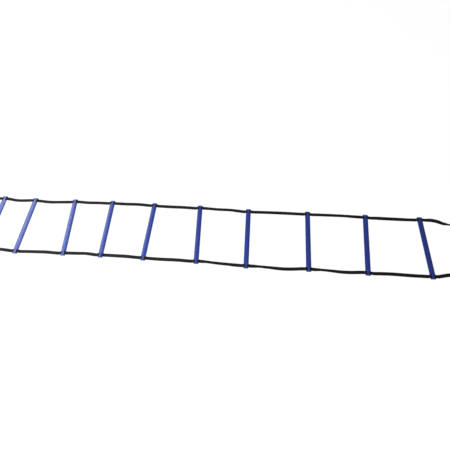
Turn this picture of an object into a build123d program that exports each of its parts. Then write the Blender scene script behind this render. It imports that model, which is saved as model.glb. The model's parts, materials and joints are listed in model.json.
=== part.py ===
from build123d import *

import os
from math import asin, degrees, radians, tan

# Escape ladder: moulded slats woven on two flat webbing straps, with a spring hook at the top of each strap.
# Millimetres. The ladder lies flat on its back: X runs from the bottom rung to the hooks, Y across the ladder
# from the right strap to the left one, Z up. The origin is at the middle of the footprint, on the ground.

# ---- the ladder as a whole ----
# The slats are held on the straps by the weave alone and creep along them, so the bays differ.
BAYS = [277, 251, 341, 289, 322, 368, 360, 435, 409, 405, 388]  # rung to rung, from the bottom, about 350 each
DRIFTS = [0, -2, -5, 2, 6, 4, 4, -6, -1, -2, 1, 0]  # how far each rung lies to the left of the middle line
SKEWS = [0, 0.7, 1.2, -4.1, -1.4, 1.1, -2.7, -0.7, 0.2, 2.9, -2.3, 0]  # degrees, left end towards the top
STRAP_SPACING = 430  # between the straps' centre lines
HEM_REACH = 62  # bottom rung's axis to the end of the straps
TAIL_REACH = 150  # top rung's axis to the hooks' base bars

# ---- webbing ----
WEBBING_WIDTH = 25
WEBBING_THICK = 1.8
HEM_LENGTH = 26  # of the turned-over end
EYE_SEAM_LENGTH = 44  # of the sewn double layer below a hook's eye
EYE_SEAM_GAP = 14  # from the base bar's axis to the double layer

# ---- rung: a moulded slat over a steel core ----
RUNG_LENGTH = 470
RUNG_WIDTH = 36
RUNG_CROWN = 8.6  # height of the middle of the crowned top
RUNG_EDGE = 6.6  # height of its long edges
RUNG_END_RADIUS = 5
RUNG_LOW_ROUND = 0.8
RUNG_HIGH_ROUND = 1.3
CORE_LENGTH = 390
CORE_WIDTH = 20
CORE_THICK = 3
CORE_HEIGHT = 4.1  # of the core's middle plane
SLOT_WIDTH = 4
SLOT_LENGTH = 28
SLOT_OFFSET = 10  # from the rung's axis to a slot's middle
BAR_TOP = 5  # height of the bars that the webbing crosses
BAR_ROUND = 2  # of its outer edge
BAR_INNER_ROUND = 0.5
WEBBING_LIFT = 0.1  # between a bar and the webbing over it
RECESS_DEPTH = 2.6  # under the bridge between two slots

# ---- how the webbing goes through a rung ----
LAY = WEBBING_THICK / 2  # height of its middle where it lies on the ground
UNDER_BRIDGE = 1.4
OVER_BAR = BAR_TOP + WEBBING_LIFT + LAY
SLOPE = 30  # degrees, from the bar down to the ground
SLOPE_START = 16.8  # from the rung's axis
SLOT_BEND = 1.3
BAR_BEND = 3
GROUND_BEND = 15
EYE_TURN = 200  # degrees round the base bar
EYE_LEAD = 8  # straight webbing after that turn
EYE_BEND = 3  # where it heads down to the double layer
FLAT_FROM = 35  # beyond this distance from a rung's axis the webbing is flat on the ground
CREASE_AT = 34  # where the webbing folds before it reaches a rung
CREASE_GAP = 2.5  # from the crease to the webbing on either side of it, room for its own thickness when folded

# ---- spring hook ----
WIRE = 8
HOOK_INSIDE_WIDTH = 30
HOOK_BOW_CENTRE = 62  # from the base bar's axis
HOOK_CORNER = 7
EYE_CLEARANCE = 0.3  # between the base bar and the webbing
PIVOT_AT = 16
TANG_SHOULDER = 11.5  # where the rod ends and the flat tang goes on
TANG_THICK = 3.4
NOSE_SHOULDER = 59
NOSE_TIP = 52
NOSE_SET_OUT = 0.5  # from the arm's middle line
ROOT_DEPTH = 3  # how far the tang and the nose start inside the rod
NOSE_WIDTH = 5
NOSE_THICK = 3
GATE_TOP = 58.5
GATE_PLAY = 0.2
PIN_DIAMETER = 3
PIN_CLEARANCE = 0.05  # in the tang
PIN_HEAD_DIAMETER = 4.6
PIN_HEAD_THICK = 0.8
SPRING_BORE = 4
SPRING_WIRE = 0.5
SPRING_DIAMETER = 3.4
SPRING_FROM = 25
SPRING_LENGTH = 12
SPRING_PITCH = 1.5
PLUNGER_CLEARANCE = 0.2  # from the tang's round end

# ---- worked out ----
STRAP_Y = STRAP_SPACING / 2
ARM_Y = (HOOK_INSIDE_WIDTH + WIRE) / 2  # from the hook's middle line to the middle of its arms
HOOK_REACH = HOOK_BOW_CENTRE + ARM_Y + WIRE / 2
FIRST_X = HEM_REACH - (HEM_REACH + sum(BAYS) + TAIL_REACH + HOOK_REACH) / 2
RUNG_XS = [FIRST_X + sum(BAYS[:i]) for i in range(len(BAYS) + 1)]
RUNG_PLACES = [
    Location((x, drift, 0), (0, 0, -skew)) for x, drift, skew in zip(RUNG_XS, DRIFTS, SKEWS)
]
SIDES = {"left": 1, "right": -1}
SLOPE_END = SLOPE_START + (OVER_BAR - LAY) / tan(radians(SLOPE))
BASE_BAR_X = RUNG_XS[-1] + TAIL_REACH
EYE_RADIUS = WIRE / 2 + EYE_CLEARANCE + LAY  # of the webbing's middle line round the base bar
BASE_BAR_Z = EYE_RADIUS + LAY
HOOK_TILT = degrees(asin((BASE_BAR_Z - WIRE / 2) / (HOOK_BOW_CENTRE + ARM_Y)))  # its bow rests on the ground


def box_between(low, high):
    """A box from its lowest to its highest corner."""
    size = [b - a for a, b in zip(low, high)]
    middle = [(a + b) / 2 for a, b in zip(low, high)]
    return Pos(*middle) * Box(*size)


# ---- rung ----
def rung_core():
    return Pos(0, 0, CORE_HEIGHT) * Box(CORE_WIDTH, CORE_LENGTH, CORE_THICK)


def rung_blank():
    """The slat before its slots: a crowned bar with rounded corners."""
    half = RUNG_WIDTH / 2
    sides = Polyline((-half, RUNG_EDGE), (-half, 0), (half, 0), (half, RUNG_EDGE))
    crown = ThreePointArc((half, RUNG_EDGE), (0, RUNG_CROWN), (-half, RUNG_EDGE))
    section = make_face([*sides.edges(), crown.edge()])
    low = section.vertices().filter_by(lambda v: v.Y < 1)
    section = fillet(low, RUNG_LOW_ROUND)
    high = section.vertices().filter_by(lambda v: v.Y > RUNG_EDGE - 0.1)
    section = fillet(high, RUNG_HIGH_ROUND)
    bar = extrude(Plane.XZ * section, RUNG_LENGTH / 2, both=True)
    plan = RectangleRounded(RUNG_WIDTH, RUNG_LENGTH, RUNG_END_RADIUS)
    return bar & extrude(plan, 2 * RUNG_CROWN)


def strap_window(side):
    """What is cut from a slat for one strap: two slots, a recess under the bridge and a saddle in each bar."""
    y = side * STRAP_Y
    half_length = SLOT_LENGTH / 2
    inner = SLOT_OFFSET - SLOT_WIDTH / 2
    outer = SLOT_OFFSET + SLOT_WIDTH / 2
    low_y, high_y = y - half_length, y + half_length
    cuts = [box_between((-outer, low_y, -1), (outer, high_y, RECESS_DEPTH))]
    for sign in (-1, 1):
        across = sorted((sign * inner, sign * outer))
        cuts.append(box_between((across[0], low_y, -1), (across[1], high_y, 2 * RUNG_CROWN)))
        across = sorted((sign * inner, sign * RUNG_WIDTH))
        cuts.append(box_between((across[0], low_y, BAR_TOP), (across[1], high_y, 2 * RUNG_CROWN)))
    return cuts


def rung():
    slat = rung_blank()
    for side in SIDES.values():
        for cut in strap_window(side):
            slat -= cut
    bar_edges = slat.edges().filter_by(Axis.Y).filter_by(lambda e: abs(e.center().Z - BAR_TOP) < 0.01)
    outer = bar_edges.filter_by(lambda e: abs(abs(e.center().X) - RUNG_WIDTH / 2) < 0.1)
    slat = fillet(outer, BAR_ROUND)
    inner_x = SLOT_OFFSET + SLOT_WIDTH / 2
    bar_edges = slat.edges().filter_by(Axis.Y).filter_by(lambda e: abs(e.center().Z - BAR_TOP) < 0.01)
    inner = bar_edges.filter_by(lambda e: abs(abs(e.center().X) - inner_x) < 0.01)
    slat = fillet(inner, BAR_INNER_ROUND)
    return slat - rung_core()


# ---- webbing ----
def band(centre_line, width=WEBBING_WIDTH):
    """Webbing that follows a line in the XZ plane."""
    section = trace(centre_line, WEBBING_THICK)
    return extrude(Plane.XZ * section, width / 2, both=True)


def through_slots(reach):
    """The middle line of the webbing through a rung, from that distance before it to the ground after it."""
    points = [
        (-reach, LAY),
        (-SLOPE_END, LAY),
        (-SLOPE_START, OVER_BAR),
        (-SLOT_OFFSET, OVER_BAR),
        (-SLOT_OFFSET, UNDER_BRIDGE),
        (SLOT_OFFSET, UNDER_BRIDGE),
        (SLOT_OFFSET, OVER_BAR),
        (SLOPE_START, OVER_BAR),
        (SLOPE_END, LAY),
        (FLAT_FROM, LAY),
    ]
    through = [SLOT_BEND] * 4
    return FilletPolyline(*points, radius=[GROUND_BEND, BAR_BEND, *through, BAR_BEND, GROUND_BEND])


def weave():
    """A rung's own webbing, from the crease before it."""
    return band(through_slots(CREASE_AT - CREASE_GAP))


def hemmed_weave():
    """The bottom rung's webbing, which starts with a turned and sewn hem."""
    line = through_slots(HEM_REACH - LAY)
    fold = Pos(-HEM_REACH + WEBBING_THICK, WEBBING_THICK) * Circle(WEBBING_THICK)
    layer = Pos(-HEM_REACH + WEBBING_THICK + HEM_LENGTH / 2, WEBBING_THICK) * Rectangle(
        HEM_LENGTH, 2 * WEBBING_THICK
    )
    section = trace(line, WEBBING_THICK) + fold + layer
    return extrude(Plane.XZ * section, WEBBING_WIDTH / 2, both=True)


def eye_and_tail():
    """Above the top rung: the strap's tail, its sewn double layer and the eye round a hook's base bar."""
    seam_end = TAIL_REACH - EYE_SEAM_GAP
    lead = Line((FLAT_FROM, LAY), (TAIL_REACH, LAY))
    turn = CenterArc((TAIL_REACH, BASE_BAR_Z), EYE_RADIUS, -90, EYE_TURN)
    lead_back = turn @ 1 + (turn % 1) * EYE_LEAD
    back = FilletPolyline(turn @ 1, lead_back, (seam_end, LAY + WEBBING_THICK), radius=EYE_BEND)
    layer = Pos(seam_end - EYE_SEAM_LENGTH / 2, WEBBING_THICK) * Rectangle(EYE_SEAM_LENGTH, 2 * WEBBING_THICK)
    section = trace([lead, turn, back], WEBBING_THICK) + layer
    return extrude(Plane.XZ * section, WEBBING_WIDTH / 2, both=True)


def ground_run(i, side):
    """The flat stretch from a rung to the crease before the next. Its ends are parallel to the two rungs."""
    corners = []
    for place, x in ((RUNG_PLACES[i], FLAT_FROM), (RUNG_PLACES[i + 1], -CREASE_AT - CREASE_GAP)):
        for y in (-WEBBING_WIDTH / 2, WEBBING_WIDTH / 2):
            corners.append((place * Pos(x, side * STRAP_Y + y, 0)).position)
    outline = Polyline(corners[0], corners[1], corners[3], corners[2], close=True)
    return extrude(make_face(outline), WEBBING_THICK, dir=(0, 0, 1))


def strap(i, side):
    """The webbing of one strap from rung i to the rung above, or to the eye above the top rung."""
    across = Pos(0, side * STRAP_Y, 0)
    here = RUNG_PLACES[i] * across
    piece = here * (hemmed_weave() if i == 0 else weave())
    if i < len(BAYS):
        return piece + ground_run(i, side)
    return piece + here * eye_and_tail()


# ---- spring hook, flat in the XY plane, base bar on the Y axis, gate on the +Y side ----
def hook_place(side):
    return Location((BASE_BAR_X, side * STRAP_Y, BASE_BAR_Z), (0, HOOK_TILT, 0))


def hook_body():
    base = FilletPolyline(
        (TANG_SHOULDER, ARM_Y), (0, ARM_Y), (0, -ARM_Y), (HOOK_BOW_CENTRE, -ARM_Y), radius=HOOK_CORNER
    )
    bow = CenterArc((HOOK_BOW_CENTRE, 0), ARM_Y, -90, 180)
    nose_line = Line((HOOK_BOW_CENTRE, ARM_Y), (NOSE_SHOULDER, ARM_Y))
    path = Wire([*base.edges(), bow.edge(), nose_line.edge()])
    start = Plane(origin=(TANG_SHOULDER, ARM_Y, 0), z_dir=(-1, 0, 0))
    rod = sweep(start * Circle(WIRE / 2), path=path)
    root = TANG_SHOULDER - ROOT_DEPTH
    tang = Pos((root + PIVOT_AT) / 2, ARM_Y) * Rectangle(PIVOT_AT - root, WIRE)
    tang += Pos(PIVOT_AT, ARM_Y) * Circle(WIRE / 2)
    tang -= Pos(PIVOT_AT, ARM_Y) * Circle(PIN_DIAMETER / 2 + PIN_CLEARANCE)
    nose_length = NOSE_SHOULDER + ROOT_DEPTH - NOSE_TIP
    nose_y = ARM_Y + NOSE_SET_OUT
    nose = Pos(NOSE_TIP + nose_length / 2, nose_y) * Rectangle(nose_length, NOSE_WIDTH)
    return rod + extrude(tang, TANG_THICK / 2, both=True) + extrude(nose, NOSE_THICK / 2, both=True)


def hook_gate():
    """A round bar, forked over the tang and slotted for the nose, with a bore for its spring."""
    length = GATE_TOP - PIVOT_AT
    bar = Pos(PIVOT_AT + length / 2, ARM_Y, 0) * Rot(0, 90, 0) * Cylinder(WIRE / 2, length)
    heel = Pos(PIVOT_AT, ARM_Y, 0) * Sphere(WIRE / 2)
    gate = bar + heel
    fork_end = PIVOT_AT + WIRE / 2 + 1
    fork = TANG_THICK / 2 + GATE_PLAY
    gate -= box_between((0, 0, -fork), (fork_end, 2 * ARM_Y, fork))
    slot = NOSE_THICK / 2 + GATE_PLAY
    wall = ARM_Y + NOSE_SET_OUT - NOSE_WIDTH / 2 - GATE_PLAY
    gate -= box_between((NOSE_TIP - 0.5, wall, -slot), (GATE_TOP + 1, 2 * ARM_Y, slot))
    bore_length = SPRING_FROM + SPRING_LENGTH + 1 - fork_end
    bore = Pos(fork_end + bore_length / 2, ARM_Y, 0) * Rot(0, 90, 0)
    gate -= bore * Cylinder(SPRING_BORE / 2, bore_length)
    return gate - Pos(PIVOT_AT, ARM_Y, 0) * Cylinder(PIN_DIAMETER / 2, 2 * WIRE)


def gate_pin():
    """A rivet through the gate's fork and the tang."""
    pin = Cylinder(PIN_DIAMETER / 2, WIRE + 2 * PIN_HEAD_THICK)
    for sign in (-1, 1):
        head_z = sign * (WIRE / 2 + PIN_HEAD_THICK / 2)
        head = Pos(0, 0, head_z) * Cylinder(PIN_HEAD_DIAMETER / 2, PIN_HEAD_THICK)
        pin += head
    return Pos(PIVOT_AT, ARM_Y, 0) * pin


def gate_spring():
    coil = Helix(SPRING_PITCH, SPRING_LENGTH, SPRING_DIAMETER / 2 - SPRING_WIRE / 2)
    section = Plane(origin=coil @ 0, z_dir=coil % 0) * Circle(SPRING_WIRE / 2)
    return Pos(SPRING_FROM, ARM_Y, 0) * Rot(0, 90, 0) * sweep(section, path=coil)


def gate_plunger():
    """What the spring pushes against the tang's round end."""
    tip = PIVOT_AT + WIRE / 2 + PLUNGER_CLEARANCE
    foot = SPRING_FROM - SPRING_WIRE
    length = foot - tip
    return Pos(tip + length / 2, ARM_Y, 0) * Rot(0, 90, 0) * Cylinder(SPRING_DIAMETER / 2, length)


# ---- every node ----
def nodes():
    made = {}
    slat, core = rung(), rung_core()
    for i, place in enumerate(RUNG_PLACES):
        made[f"rung_{i + 1:02d}"] = place * slat
        made[f"rung_core_{i + 1:02d}"] = place * core
    for name, side in SIDES.items():
        for i in range(len(RUNG_PLACES)):
            made[f"{name}_strap_{i + 1:02d}"] = strap(i, side)
        place = hook_place(side)
        made[f"{name}_hook"] = place * hook_body()
        made[f"{name}_hook_gate"] = place * hook_gate()
        made[f"{name}_gate_pin"] = place * gate_pin()
        made[f"{name}_gate_spring"] = place * gate_spring()
        made[f"{name}_gate_plunger"] = place * gate_plunger()
    return made


os.makedirs("parts", exist_ok=True)
for node, shape in nodes().items():
    export_step(shape, f"parts/{node}.step")
    print(node, f"{shape.volume:.0f} mm3")
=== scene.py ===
"""Looks of the webbing escape ladder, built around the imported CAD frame.

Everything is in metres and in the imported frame: X runs from the bottom rung to the hooks, Y from the right
strap to the left one, and Z up from the ground that the ladder lies on.
"""

import json
import math

import bpy
import numpy as np
from mathutils import Matrix, Vector


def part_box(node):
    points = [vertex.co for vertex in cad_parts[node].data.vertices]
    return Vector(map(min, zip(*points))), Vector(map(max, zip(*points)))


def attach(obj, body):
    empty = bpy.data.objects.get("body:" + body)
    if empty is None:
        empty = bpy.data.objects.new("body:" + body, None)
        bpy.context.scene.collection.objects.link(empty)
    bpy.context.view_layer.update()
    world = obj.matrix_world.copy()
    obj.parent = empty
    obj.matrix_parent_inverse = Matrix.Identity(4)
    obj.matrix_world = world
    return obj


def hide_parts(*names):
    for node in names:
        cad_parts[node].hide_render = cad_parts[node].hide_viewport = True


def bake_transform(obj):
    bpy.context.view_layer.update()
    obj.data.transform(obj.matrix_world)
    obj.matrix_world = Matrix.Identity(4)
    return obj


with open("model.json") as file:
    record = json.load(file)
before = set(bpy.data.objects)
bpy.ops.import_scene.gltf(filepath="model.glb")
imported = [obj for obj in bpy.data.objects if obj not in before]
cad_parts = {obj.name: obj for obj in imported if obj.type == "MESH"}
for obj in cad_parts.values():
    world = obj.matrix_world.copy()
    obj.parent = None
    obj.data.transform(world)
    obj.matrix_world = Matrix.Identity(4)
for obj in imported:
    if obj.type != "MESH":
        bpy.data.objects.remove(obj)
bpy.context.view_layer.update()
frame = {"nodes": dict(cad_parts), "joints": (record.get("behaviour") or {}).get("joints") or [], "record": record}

MM = 0.001

# ---- the ladder, as the CAD source has it ----
RUNGS = 12
SIDES = {"left": 1, "right": -1}
STRAP_Y = 215 * MM
WEBBING_WIDTH = 25 * MM
WEBBING_THICK = 1.8 * MM
LAY = 0.95 * MM  # height of the webbing's middle on the ground
UNDER_BRIDGE = 1.4 * MM
OVER_BAR = 6.1 * MM
SLOT_X = 10 * MM  # from a rung's axis to the middle of its slots
GROUND_FROM = 39 * MM  # from a rung's axis, where a bay's free webbing starts and ends on the ground
HEM_REACH = 62 * MM
HEM_LENGTH = 26 * MM
BASE_BAR_X = 150 * MM  # from the top rung's axis
BASE_BAR_Z = 6.1 * MM
EYE_RADIUS = 5.25 * MM
EYE_SEAM_LENGTH = 44 * MM
EYE_SEAM_GAP = 14 * MM  # from the base bar's axis to the double layer
SECOND_LAYER = LAY + WEBBING_THICK + 0.02 * MM  # height of a turned-back layer's middle

# ---- how each bay's webbing lies, bays counted from the bottom ----
# Millimetres towards the left strap from the straight line between the two rungs, early and late in the bay.
BOWS = {
    "left": [
        (3, 2), (-9, -7), (-8, -4), (-4, 0), (0, 4),
        (-1, 2), (-2, 5), (2, 1), (2, 2), (-1, -2),
    ],
    "right": [
        (-3, -2), (6, 4), (3, 5), (2, 6), (1, 2), (-1, 2),
        (-3, -2), (-5, -11), (-4, -9), (4, 0), (24, 9),
    ],
}
# Degrees that the left edge is rolled up off the ground, early and late in the bay.
ROLLS = {
    "left": [
        (3, -4), (-6, 2), (2, -3), (0, -2), (2, 5),
        (4, 2), (-8, -7), (0, 4), (-3, -9), (12, 8),
    ],
    "right": [
        (-4, 3), (5, -3), (-4, 3), (-2, -7), (4, 8), (2, 6),
        (-22, -14), (-25, 0), (-26, -3), (2, 2), (5, 4),
    ],
}
# Shares of the bay: where the early and late bows are, where the roll starts, where it has its early value
# and where it ends. It has its late value at the late bow.
EARLY, LATE = 0.33, 0.67
ROLL_FROM, ROLL_EARLY, ROLL_TO = -0.02, 0.15, 0.88
# The left strap's last bay has rows of its own: where it bends in, the webbing turns up on its right edge.
TWISTED_BAY = ("left", 11)
TWISTED_BOWS = [(0.18, -2), (0.4, -23), (0.62, -38), (0.82, -21)]
TWISTED_ROLLS = [(0.0, 0), (0.13, 27), (0.25, 27), (0.51, -30), (0.68, -48), (0.92, 0)]
CREASE_AT = 34 * MM  # before the next rung's axis, where the webbing folds

# ---- webbing as a mesh ----
SPLINE_STEPS = 14
LEAST_SPACING = 0.8 * MM  # of the points along a line
CORDS_ACROSS = 10  # raised lengthwise cords that the weave makes
POINTS_PER_CORD = 3
CORD_RELIEF = 0.09 * MM
SELVEDGE = 0.55 * MM  # how far the rounded edge reaches in
WEAVE_SHIFT = 7 * MM  # along the weave, from one piece of a strap to the next

# ---- stitches ----
STITCH_LENGTH = 2.6 * MM
STITCH_GAP = 0.7 * MM
THREAD_RADIUS = 0.38 * MM
THREAD_SIDES = 8
THREAD_RINGS = 3  # at each rounded end
STITCH_BULGE = 1.06  # of the radius, halfway along a stitch
SEAM_HEIGHTS = (SECOND_LAYER + WEBBING_THICK / 2 + 0.05 * MM, LAY - WEBBING_THICK / 2 + 0.3 * MM)
HEM_ROWS = (-58 * MM, -55.5 * MM, -39.5 * MM)  # from the bottom rung's axis
HEM_ROW_REACH = 10.5 * MM  # to each side of the webbing's middle
EYE_ROW_REACH = 9.6 * MM
EYE_ROW_INSETS = (4 * MM, 6 * MM)  # from the seam's ends

# ---- studio ----
FLOOR_REACH = 14
FLOOR_DROP = 0.2 * MM  # below the ladder's underside, so that the two are never in one plane
WORLD_LIGHT = 0.33  # strength of the white world as a light
WORLD_SEEN = 1.0  # and as the camera sees it
WHITE = (1, 1, 1)
SKY_WHITE = (0.90, 0.99, 1.0)
LENS = 28.24  # millimetres, on a sensor 36 wide
CAMERA_PLACE = (0.2189, -1.0861, 2.3277)
CAMERA_TURN = 9.17  # degrees about the vertical, to the left of the ladder's Y axis
CAMERA_DIP = 62.92  # degrees below the horizon
CAMERA_ROLL = -5.01  # degrees about the line of sight


# ---------------------------------------------------------------- rungs
def rung_places():
    """Each rung's place: its axis is the local Y axis, and the ladder runs on along the local X axis.

    A fold joint lies at the crease, CREASE_AT before its rung.
    """
    low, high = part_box("rung_01")
    places = [Matrix.Translation(((low.x + high.x) / 2, (low.y + high.y) / 2, 0))]
    folds = {j["child"]: j for j in frame["joints"] if j["name"].startswith("fold_")}
    for number in range(2, RUNGS + 1):
        fold = folds[f"span_{number:02d}"]
        x, y, _ = fold["pos_m"]
        skew = math.atan(fold["axis"][0] / fold["axis"][1])
        crease = Matrix.Translation((x, y, 0)) @ Matrix.Rotation(-skew, 4, "Z")
        places.append(crease @ Matrix.Translation((CREASE_AT, 0, 0)))
    return places


PLACES = rung_places()


# ---------------------------------------------------------------- webbing
def smooth(t):
    t = np.clip(t, 0, 1)
    return t * t * (3 - 2 * t)


def spline_points(controls):
    """Points along the NURBS spline with these control points."""
    curve = bpy.data.curves.new("route", "CURVE")
    curve.dimensions = "3D"
    curve.resolution_u = SPLINE_STEPS
    spline = curve.splines.new("NURBS")
    spline.points.add(len(controls) - 1)
    for point, place in zip(spline.points, controls):
        point.co = (*place, 1)
    spline.order_u = 3
    spline.use_endpoint_u = True
    probe = bpy.data.objects.new("route", curve)
    mesh = bpy.data.meshes.new_from_object(probe)
    points = [np.array(v.co, float) for v in mesh.vertices]
    bpy.data.meshes.remove(mesh)
    bpy.data.curves.remove(curve)
    kept = [points[0]]
    for point in points[1:-1]:
        if np.linalg.norm(point - kept[-1]) >= LEAST_SPACING:
            kept.append(point)
    return np.array(kept + [points[-1]])


def webbing_section():
    """The webbing's outline, as (across, up): lengthwise cords on both faces and rounded edges."""
    half = WEBBING_WIDTH / 2
    flat = half - SELVEDGE
    steps = CORDS_ACROSS * POINTS_PER_CORD
    top = []
    for i in range(steps + 1):
        across = -flat + 2 * flat * i / steps
        dip = CORD_RELIEF * (1 - abs(math.sin(math.pi * CORDS_ACROSS * i / steps)))
        top.append((across, WEBBING_THICK / 2 - dip))
    shoulder, height = half - SELVEDGE / 4, WEBBING_THICK * 0.28  # of the rounded edge
    right_edge = [(shoulder, height), (half, 0), (shoulder, -height)]
    bottom = [(a, -h) for a, h in reversed(top)]
    left_edge = [(-a, -h) for a, h in right_edge]
    return np.array(top + right_edge + bottom + left_edge)


SECTION = webbing_section()


def weaving(place, side, sign):
    """Control points from under a rung's bridge to the ground, on the side of it that sign says."""
    line = [
        (0, UNDER_BRIDGE),
        (SLOT_X / 2, UNDER_BRIDGE),
        (SLOT_X, UNDER_BRIDGE),
        (SLOT_X, OVER_BAR),
        (SLOT_X + 4 * MM, OVER_BAR),
        (SLOT_X + 7.7 * MM, OVER_BAR),
        (SLOT_X + 11.9 * MM, 3.4 * MM),
        (SLOT_X + 18 * MM, LAY),
        (GROUND_FROM, LAY),
    ]
    return [np.array(place @ Vector((sign * x, SIDES[side] * STRAP_Y, z))) for x, z in line]


def bay_ends(number, side):
    """Where the webbing comes down to the ground after one rung and where it leaves it for the next."""
    start = PLACES[number - 1] @ Vector((GROUND_FROM, SIDES[side] * STRAP_Y, LAY))
    end = PLACES[number] @ Vector((-GROUND_FROM, SIDES[side] * STRAP_Y, LAY))
    return np.array(start), np.array(end)


def bay_points(number, side):
    """Control points on the ground between two rungs' own."""
    start, end = bay_ends(number, side)
    if (side, number) == TWISTED_BAY:
        bows = TWISTED_BOWS
    else:
        bows = zip((EARLY, LATE), BOWS[side][number - 1])
    return [start + (end - start) * share + np.array((0, bow * MM, 0)) for share, bow in bows]


def lie(line, number, side):
    """Which way the webbing's width runs between two rungs, and the angle that it is rolled up by."""
    start, end = bay_ends(number, side)
    run = end - start
    share = (line - start) @ run / (run @ run)
    turn = smooth(share)[:, None]
    first, last = PLACES[number - 1], PLACES[number]
    across = (1 - turn) * np.array(first.col[1].xyz) + turn * np.array(last.col[1].xyz)
    if (side, number) == TWISTED_BAY:
        stops = TWISTED_ROLLS
    else:
        early, late = ROLLS[side][number - 1]
        stops = [(ROLL_FROM, 0), (ROLL_EARLY, early), (LATE, late), (ROLL_TO, 0)]
    angle = np.zeros(len(line))
    for (low, before), (high, after) in zip(stops, stops[1:]):
        here = (share >= low) & (share < high)
        angle[here] = before + (after - before) * smooth((share[here] - low) / (high - low))
    return across, np.radians(angle)


def band(name, line, across, material, weave_from=0.0):
    """A closed mesh of webbing along a line. across says which way its width runs at each point.

    The attribute lay holds each point's place in the weave: along the webbing, across it and up from its
    middle.
    """
    tangent = np.gradient(line, axis=0)
    tangent /= np.linalg.norm(tangent, axis=1)[:, None]
    across = across - (across * tangent).sum(1)[:, None] * tangent
    across /= np.linalg.norm(across, axis=1)[:, None]
    up = np.cross(tangent, across)
    rings = line[:, None] + across[:, None] * SECTION[None, :, :1] + up[:, None] * SECTION[None, :, 1:]
    count, around = rings.shape[:2]
    faces = []
    for i in range(count - 1):
        for j in range(around):
            k = (j + 1) % around
            faces.append((i * around + j, (i + 1) * around + j, (i + 1) * around + k, i * around + k))
    faces.append(tuple(range(around)))
    faces.append(tuple(reversed(range((count - 1) * around, count * around))))
    mesh = bpy.data.meshes.new(name)
    mesh.from_pydata(rings.reshape(-1, 3).tolist(), [], faces)
    mesh.polygons.foreach_set("use_smooth", [True] * (len(faces) - 2) + [False] * 2)
    along = weave_from + np.concatenate([[0], np.cumsum(np.linalg.norm(np.diff(line, axis=0), axis=1))])
    lay = np.zeros((count, around, 3), np.float32)
    lay[..., 0] = along[:, None]
    lay[..., 1] = SECTION[None, :, 0]
    lay[..., 2] = SECTION[None, :, 1]
    mesh.attributes.new("lay", "FLOAT_VECTOR", "POINT").data.foreach_set("vector", lay.ravel())
    mesh.materials.append(material)
    piece = bpy.data.objects.new(name, mesh)
    bpy.context.scene.collection.objects.link(piece)
    return piece


def rolled(line, across, angle):
    """The line raised and its width rolled about its length: the lower edge still rests on the ground."""
    tangent = np.gradient(line, axis=0)
    tangent /= np.linalg.norm(tangent, axis=1)[:, None]
    up = np.cross(tangent, across)
    turned = across * np.cos(angle)[:, None] + up * np.sin(angle)[:, None]
    lifted = line.copy()
    lifted[:, 2] += WEBBING_WIDTH / 2 * np.abs(np.sin(angle))
    return lifted, turned


def hem_controls(side):
    """The turned-over end below the bottom rung, from its loose end to where the webbing climbs the rung."""
    tip = HEM_REACH - LAY
    line = [
        (HEM_REACH - HEM_LENGTH, SECOND_LAYER),
        (HEM_REACH - HEM_LENGTH / 2, SECOND_LAYER),
        (tip, SECOND_LAYER),
        (tip + 0.4 * MM, SECOND_LAYER),
        (tip + 0.4 * MM, LAY),
        (tip, LAY),
        (HEM_REACH - HEM_LENGTH / 2, LAY),
    ]
    place = PLACES[0]
    return [np.array(place @ Vector((-x, SIDES[side] * STRAP_Y, z))) for x, z in line]


def eye_controls(side):
    """From the ground above the top rung, round the hook's base bar and back on to the double layer."""
    step = 45  # degrees between control points round the bar
    corner = EYE_RADIUS / math.cos(math.radians(step / 2))
    line = [(60 * MM, LAY), (100 * MM, LAY), (135 * MM, LAY)]
    turns = [step * (i - 1.5) for i in range(5)]
    last_turn = 145  # where it comes down on to the double layer
    for degrees in turns + [last_turn]:
        angle = math.radians(degrees)
        line.append((BASE_BAR_X + corner * math.cos(angle), BASE_BAR_Z + corner * math.sin(angle)))
    seam_end = BASE_BAR_X - EYE_SEAM_GAP
    line += [
        (seam_end + 2 * MM, SECOND_LAYER + 0.4 * MM),
        (seam_end - 3 * MM, SECOND_LAYER),
        (seam_end - EYE_SEAM_LENGTH / 2, SECOND_LAYER),
        (seam_end - EYE_SEAM_LENGTH, SECOND_LAYER),
    ]
    place = PLACES[-1]
    return [np.array(place @ Vector((x, SIDES[side] * STRAP_Y, z))) for x, z in line]


def strap_pieces(material):
    """Each strap's webbing, one piece from under a rung's bridge to under the next one's."""
    made = {}
    for side in SIDES:
        for number in range(1, RUNGS):
            first, last = PLACES[number - 1], PLACES[number]
            start = weaving(first, side, 1)
            if number == 1:
                start = hem_controls(side) + list(reversed(weaving(first, side, -1)))[1:-1] + start[1:]
            end = list(reversed(weaving(last, side, -1)))
            line = spline_points(start + bay_points(number, side) + end)
            across, angle = lie(line, number, side)
            line, across = rolled(line, across, angle)
            name = f"{side}_webbing_{number:02d}"
            piece = band(name, line, across, material, weave_from=number * WEAVE_SHIFT)
            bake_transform(piece)
            made[side, number] = (piece, line)
        place = PLACES[-1]
        line = spline_points(weaving(place, side, 1)[:-1] + eye_controls(side))
        across = np.tile(np.array(place.col[1].xyz), (len(line), 1))
        piece = band(f"{side}_webbing_{RUNGS:02d}", line, across, material)
        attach(piece, f"span_{RUNGS:02d}")
        made[side, RUNGS] = (piece, line)
    return made


# ---------------------------------------------------------------- stitches
def stitch_row(start, end):
    """Stitches from one point to another, as pairs of ends."""
    start, end = Vector(start), Vector(end)
    run = end - start
    count = max(1, round((run.length + STITCH_GAP) / (STITCH_LENGTH + STITCH_GAP)))
    pitch = run / count
    inset = pitch.normalized() * STITCH_GAP / 2
    return [(start + pitch * i + inset, start + pitch * (i + 1) - inset) for i in range(count)]


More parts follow.
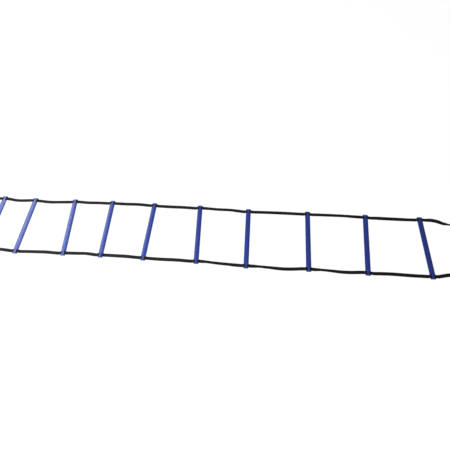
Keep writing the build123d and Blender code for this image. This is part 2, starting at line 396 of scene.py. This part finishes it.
def capsule(start, end):
    """Vertices and faces of a rounded stitch."""
    radius, sides, rings = THREAD_RADIUS, THREAD_SIDES, THREAD_RINGS
    axis = (end - start).normalized()
    across = axis.cross(Vector((0, 0, 1))).normalized()
    up = axis.cross(across)
    length = (end - start).length
    stations = []
    for i in range(rings):
        angle = math.pi / 2 * i / rings
        stations.append((radius * (1 - math.cos(angle)), radius * math.sin(angle)))
    stations = [(a, r) for a, r in stations if r > 0]
    stations += [(radius, radius), (length / 2, radius * STITCH_BULGE)]
    stations += [(length - a, r) for a, r in reversed(stations[:-1])]
    vertices = [start]
    for a, r in stations:
        for j in range(sides):
            turn = 2 * math.pi * j / sides
            vertices.append(start + axis * a + (across * math.cos(turn) + up * math.sin(turn)) * r)
    vertices.append(end)
    faces = []
    for j in range(sides):
        k = (j + 1) % sides
        faces.append((0, 1 + j, 1 + k))
        for i in range(len(stations) - 1):
            a, b = 1 + i * sides, 1 + (i + 1) * sides
            faces.append((a + j, b + j, b + k, a + k))
        base = 1 + (len(stations) - 1) * sides
        faces.append((len(vertices) - 1, base + k, base + j))
    return vertices, faces


def stitching(name, place, side, rows, body, material):
    """One seam's stitches, on the top and the underside of the double layer."""
    vertices, faces = [], []
    for start, end in rows:
        for height in SEAM_HEIGHTS:
            for a, b in stitch_row((*start, height), (*end, height)):
                points, patches = capsule(a, b)
                base = len(vertices)
                vertices += [place @ (p + Vector((0, SIDES[side] * STRAP_Y, 0))) for p in points]
                faces += [tuple(base + i for i in f) for f in patches]
    mesh = bpy.data.meshes.new(name)
    mesh.from_pydata([tuple(v) for v in vertices], [], faces)
    mesh.polygons.foreach_set("use_smooth", [True] * len(faces))
    mesh.materials.append(material)
    piece = bpy.data.objects.new(name, mesh)
    bpy.context.scene.collection.objects.link(piece)
    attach(piece, body)
    return piece


def hem_stitching(side, material):
    """Straight rows across the hem."""
    rows = [((x, -HEM_ROW_REACH), (x, HEM_ROW_REACH)) for x in HEM_ROWS]
    return stitching(f"{side}_hem_stitching", PLACES[0], side, rows, "span_01", material)


def eye_stitching(side, material):
    """A box with a cross in it."""
    low = BASE_BAR_X - EYE_SEAM_GAP - EYE_SEAM_LENGTH + EYE_ROW_INSETS[0]
    high = BASE_BAR_X - EYE_SEAM_GAP - EYE_ROW_INSETS[1]
    edge = EYE_ROW_REACH
    corners = [(low, -edge), (high, -edge), (high, edge), (low, edge)]
    rows = [(corners[i], corners[(i + 1) % 4]) for i in range(4)]
    rows += [(corners[0], corners[2]), (corners[1], corners[3])]
    return stitching(f"{side}_eye_stitching", PLACES[-1], side, rows, f"span_{RUNGS:02d}", material)


# ---------------------------------------------------------------- materials
class Surface:
    """A material under construction: its node tree, its main shader and short ways to add nodes."""

    def __init__(self, name):
        self.material = bpy.data.materials.new(name)
        self.material.use_nodes = True
        self.nodes = self.material.node_tree.nodes
        self.links = self.material.node_tree.links
        self.shader = self.nodes["Principled BSDF"]

    def add(self, kind, inputs=(), **settings):
        node = self.nodes.new(kind)
        for key, value in settings.items():
            setattr(node, key, value)
        for key, value in dict(inputs).items():
            self.put(node.inputs[key], value)
        return node

    def put(self, socket, value):
        if isinstance(value, bpy.types.NodeSocket):
            self.links.new(value, socket)
        else:
            socket.default_value = value

    def set(self, **inputs):
        for key, value in inputs.items():
            self.put(self.shader.inputs[key.replace("_", " ")], value)

    def math(self, operation, a, b=0.0):
        node = self.add("ShaderNodeMath", {0: a, 1: b}, operation=operation)
        return node.outputs[0]

    def mapped(self, source, scale):
        node = self.add("ShaderNodeMapping", {"Vector": source, "Scale": scale})
        return node.outputs[0]

    def noise(self, source, scale, detail=3.0, roughness=0.5):
        inputs = {"Vector": source, "Scale": scale, "Detail": detail, "Roughness": roughness}
        return self.add("ShaderNodeTexNoise", inputs).outputs["Fac"]

    def ramp(self, value, stops):
        node = self.add("ShaderNodeValToRGB", {"Fac": value})
        elements = node.color_ramp.elements  # a new ramp has two
        for i, (place, colour) in enumerate(stops):
            element = elements[i] if i < 2 else elements.new(place)
            element.position = place
            element.color = (*colour, 1)
        return node.outputs["Color"]

    def span(self, value, low, high, to_low, to_high):
        inputs = {"Value": value, "From Min": low, "From Max": high, "To Min": to_low, "To Max": to_high}
        return self.add("ShaderNodeMapRange", inputs).outputs["Result"]

    def mix(self, share, a, b):
        # This node's sockets share their names, so they go by number.
        first_colour, second_colour, result = 6, 7, 2
        node = self.add("ShaderNodeMix", {"Factor": share}, data_type="RGBA")
        self.put(node.inputs[first_colour], a)
        self.put(node.inputs[second_colour], b)
        return node.outputs[result]

    def bump(self, height, distance, strength, normal=None):
        inputs = {"Height": height, "Distance": distance, "Strength": strength}
        if normal is not None:
            inputs["Normal"] = normal
        return self.add("ShaderNodeBump", inputs).outputs["Normal"]

    def place(self):
        return self.add("ShaderNodeTexCoord").outputs["Object"]


def rung_plastic():
    """Blue moulded plastic, a little cloudy, scuffed along the rung and worn paler at its edges."""
    s = Surface("rung_plastic")
    place = s.place()
    cloud = s.noise(place, 14.0, 4.0, 0.6)
    colour = s.ramp(cloud, [(0.3, (0.0026, 0.0116, 0.102)), (0.7, (0.0034, 0.0134, 0.118))])
    scuffs = s.noise(s.mapped(place, (420.0, 26.0, 420.0)), 1.0, 5.0, 0.65)
    scuffed = s.span(scuffs, 0.62, 0.74, 0.0, 0.10)
    colour = s.mix(scuffed, colour, (0.03, 0.045, 0.20, 1))
    edge = s.span(s.add("ShaderNodeNewGeometry").outputs["Pointiness"], 0.52, 0.60, 0.0, 0.30)
    worn = s.math("MULTIPLY", edge, s.span(s.noise(place, 120.0, 3.0), 0.40, 0.65, 0.0, 1.0))
    colour = s.mix(worn, colour, (0.025, 0.04, 0.20, 1))
    rough = s.span(s.noise(place, 60.0, 4.0), 0.3, 0.7, 0.36, 0.43)
    rough = s.math("ADD", rough, s.math("MULTIPLY", scuffed, 0.6))
    grain = s.bump(s.noise(place, 900.0, 2.0), 0.00004, 0.2)
    ripple = s.bump(s.noise(place, 30.0, 2.0), 0.0004, 0.04, normal=grain)
    s.set(Base_Color=colour, Roughness=rough, Normal=ripple, IOR=1.49)
    return s.material


def webbing_weave():
    """Black webbing: columns of knuckles, each column half a pick on from the last, with fibres and dust."""
    s = Surface("webbing_weave")
    lay = s.add("ShaderNodeAttribute", attribute_name="lay", attribute_type="GEOMETRY").outputs["Vector"]
    parts = s.add("ShaderNodeSeparateXYZ", {0: lay})
    along, across = parts.outputs[0], parts.outputs[1]
    column_width, pick_length = 1.15 * MM, 2.3 * MM
    cord = s.math("DIVIDE", across, column_width)
    column = s.math("FLOOR", cord)
    ridge = s.math("SINE", s.math("MULTIPLY", s.math("FRACT", cord), math.pi))
    shift = s.math("MULTIPLY", column, 0.5)
    pick = s.math("FRACT", s.math("ADD", s.math("DIVIDE", along, pick_length), shift))
    knuckle = s.math("SINE", s.math("MULTIPLY", pick, math.pi))
    height = s.math("MULTIPLY", ridge, s.math("POWER", knuckle, 0.6))
    fibres = s.noise(s.mapped(lay, (500.0, 3800.0, 3800.0)), 1.0, 3.0, 0.6)
    height = s.math("ADD", height, s.math("MULTIPLY", fibres, 0.35))
    # The colour follows the weave's height: painted shade in its hollows and a painted highlight on the raised
    # knuckles, with the fibres' own uneven tone mixed in.
    hollow_shade, middle, raised = (0.0016, 0.0016, 0.0021), (0.0044, 0.0044, 0.0058), (0.0088, 0.0088, 0.0114)
    colour = s.ramp(height, [(0.15, hollow_shade), (0.6, middle), (1.0, raised)])
    dust = s.span(s.noise(lay, 38.0, 4.0, 0.6), 0.5, 0.8, 0.0, 0.35)
    colour = s.mix(dust, colour, (0.0098, 0.0098, 0.0124, 1))
    rough = s.span(height, 0.0, 1.2, 0.78, 0.52)
    s.set(Base_Color=colour, Roughness=rough, Normal=s.bump(height, 0.00022, 0.8))
    s.set(Sheen_Weight=0.015, Sheen_Roughness=0.4, Specular_IOR_Level=0.065)
    return s.material


def thread():
    """Twisted black thread."""
    s = Surface("thread")
    inputs = {"Vector": s.place(), "Scale": 900.0, "Distortion": 1.5}
    twist = s.add("ShaderNodeTexWave", inputs, bands_direction="DIAGONAL").outputs["Fac"]
    # The colour follows the twist: painted shade in the grooves between the plies, paler on their crests.
    colour = s.ramp(twist, [(0.2, (0.010, 0.010, 0.011)), (0.8, (0.030, 0.030, 0.032))])
    s.set(Base_Color=colour, Roughness=0.5, Normal=s.bump(twist, 0.00008, 0.6))
    s.set(Sheen_Weight=0.2)
    return s.material


def steel(name, light, dark, rough, grain):
    """Plated or bare steel with drawn grain, in two close tones."""
    s = Surface(name)
    place = s.place()
    cloud = s.noise(place, 70.0, 5.0, 0.6)
    colour = s.ramp(cloud, [(0.35, dark), (0.65, light)])
    lines = s.noise(s.mapped(place, (grain * 0.05, grain, grain)), 1.0, 3.0, 0.6)
    roughness = s.span(lines, 0.3, 0.7, rough[0], rough[1])
    s.set(Base_Color=colour, Metallic=1.0, Roughness=roughness, Normal=s.bump(lines, 0.00005, 0.3))
    return s.material


def floor_white():
    """White paper that glows nearly white by itself, so that only the faintest shadows show on it."""
    s = Surface("floor_white")
    s.set(Base_Color=(0.04, 0.04, 0.04, 1), Roughness=0.9, Specular_IOR_Level=0.0)
    s.set(Emission_Color=(1, 1, 1, 1), Emission_Strength=0.96)
    return s.material


# ---------------------------------------------------------------- dressing the CAD nodes
def dress_nodes(materials):
    """The carried-over CAD nodes get the material of their record slot."""
    slots = {row["node"]: row["material_slot"] for row in frame["record"]["subparts"]}
    for node, piece in frame["nodes"].items():
        piece.data.materials.clear()
        piece.data.materials.append(materials[slots[node]])
        for polygon in piece.data.polygons:
            polygon.material_index = 0


def build():
    """Materials on the CAD nodes, and each strap's pieces in the place of the plain ones."""
    webbing = webbing_weave()
    materials = {
        "rung_plastic": rung_plastic(),
        "core_steel": steel("core_steel", (0.52, 0.53, 0.55), (0.40, 0.41, 0.43), (0.32, 0.5), 900.0),
        "webbing": webbing,
        "hook_steel": steel("hook_steel", (0.74, 0.75, 0.76), (0.62, 0.63, 0.66), (0.20, 0.36), 700.0),
        "spring_steel": steel("spring_steel", (0.48, 0.49, 0.51), (0.38, 0.39, 0.41), (0.25, 0.4), 1200.0),
    }
    dress_nodes(materials)
    straps = strap_pieces(webbing)
    sewing = thread()
    for (side, number), (piece, line) in straps.items():
        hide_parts(f"{side}_strap_{number:02d}")
        if number == 1:
            hem_stitching(side, sewing)
        if number == RUNGS:
            eye_stitching(side, sewing)


# ---------------------------------------------------------------- studio
def make_floor():
    mesh = bpy.data.meshes.new("floor")
    corners = [(-1, -1), (1, -1), (1, 1), (-1, 1)]
    vertices = [(x * FLOOR_REACH, y * FLOOR_REACH, -FLOOR_DROP) for x, y in corners]
    mesh.from_pydata(vertices, [], [(0, 1, 2, 3)])
    mesh.materials.append(floor_white())
    floor = bpy.data.objects.new("floor", mesh)
    bpy.context.scene.collection.objects.link(floor)


def area_light(name, place, target, size, power, colour):
    """A rectangular light at a place, turned to a target."""
    light = bpy.data.lights.new(name, "AREA")
    light.shape = "RECTANGLE"
    light.size, light.size_y = size
    light.energy = power
    light.color = colour
    lamp = bpy.data.objects.new(name, light)
    bpy.context.scene.collection.objects.link(lamp)
    lamp.location = place
    lamp.rotation_euler = (Vector(target) - Vector(place)).to_track_quat("-Z", "Y").to_euler()


def make_lights():
    """A white world, dimmer as a light than it looks to the camera, and two soft lights on the left."""
    world = bpy.data.worlds.new("studio")
    world.use_nodes = True
    nodes, links = world.node_tree.nodes, world.node_tree.links
    background = nodes["Background"]
    background.inputs["Color"].default_value = (*WHITE, 1)
    seen = nodes.new("ShaderNodeLightPath").outputs["Is Camera Ray"]
    strength = nodes.new("ShaderNodeMapRange")
    strength.inputs["To Min"].default_value = WORLD_LIGHT
    strength.inputs["To Max"].default_value = WORLD_SEEN
    links.new(seen, strength.inputs["Value"])
    links.new(strength.outputs["Result"], background.inputs["Strength"])
    bpy.context.scene.world = world
    area_light("far_left", (-5.2, 2.3, 4.4), (-1.2, 0, 0), size=(3.4, 3.0), power=275, colour=SKY_WHITE)
    area_light("near_left", (-1.9, -1.9, 2.3), (-0.9, 0, 0), size=(1.8, 1.4), power=375, colour=WHITE)


def make_camera():
    """The photograph's viewing angle: from above the near side, looking down across the ladder."""
    data = bpy.data.cameras.new("camera")
    data.sensor_width = 36
    data.lens = LENS
    data.clip_end = 60
    camera = bpy.data.objects.new("camera", data)
    bpy.context.scene.collection.objects.link(camera)
    turn = Matrix.Rotation(math.radians(CAMERA_TURN), 4, "Z")
    tip = Matrix.Rotation(math.radians(90 - CAMERA_DIP), 4, "X")
    roll = Matrix.Rotation(math.radians(CAMERA_ROLL), 4, "Z")
    camera.matrix_world = Matrix.Translation(CAMERA_PLACE) @ turn @ tip @ roll
    bpy.context.scene.camera = camera


build()
make_floor()
make_lights()
make_camera()
bpy.context.scene.view_settings.view_transform = "Standard"
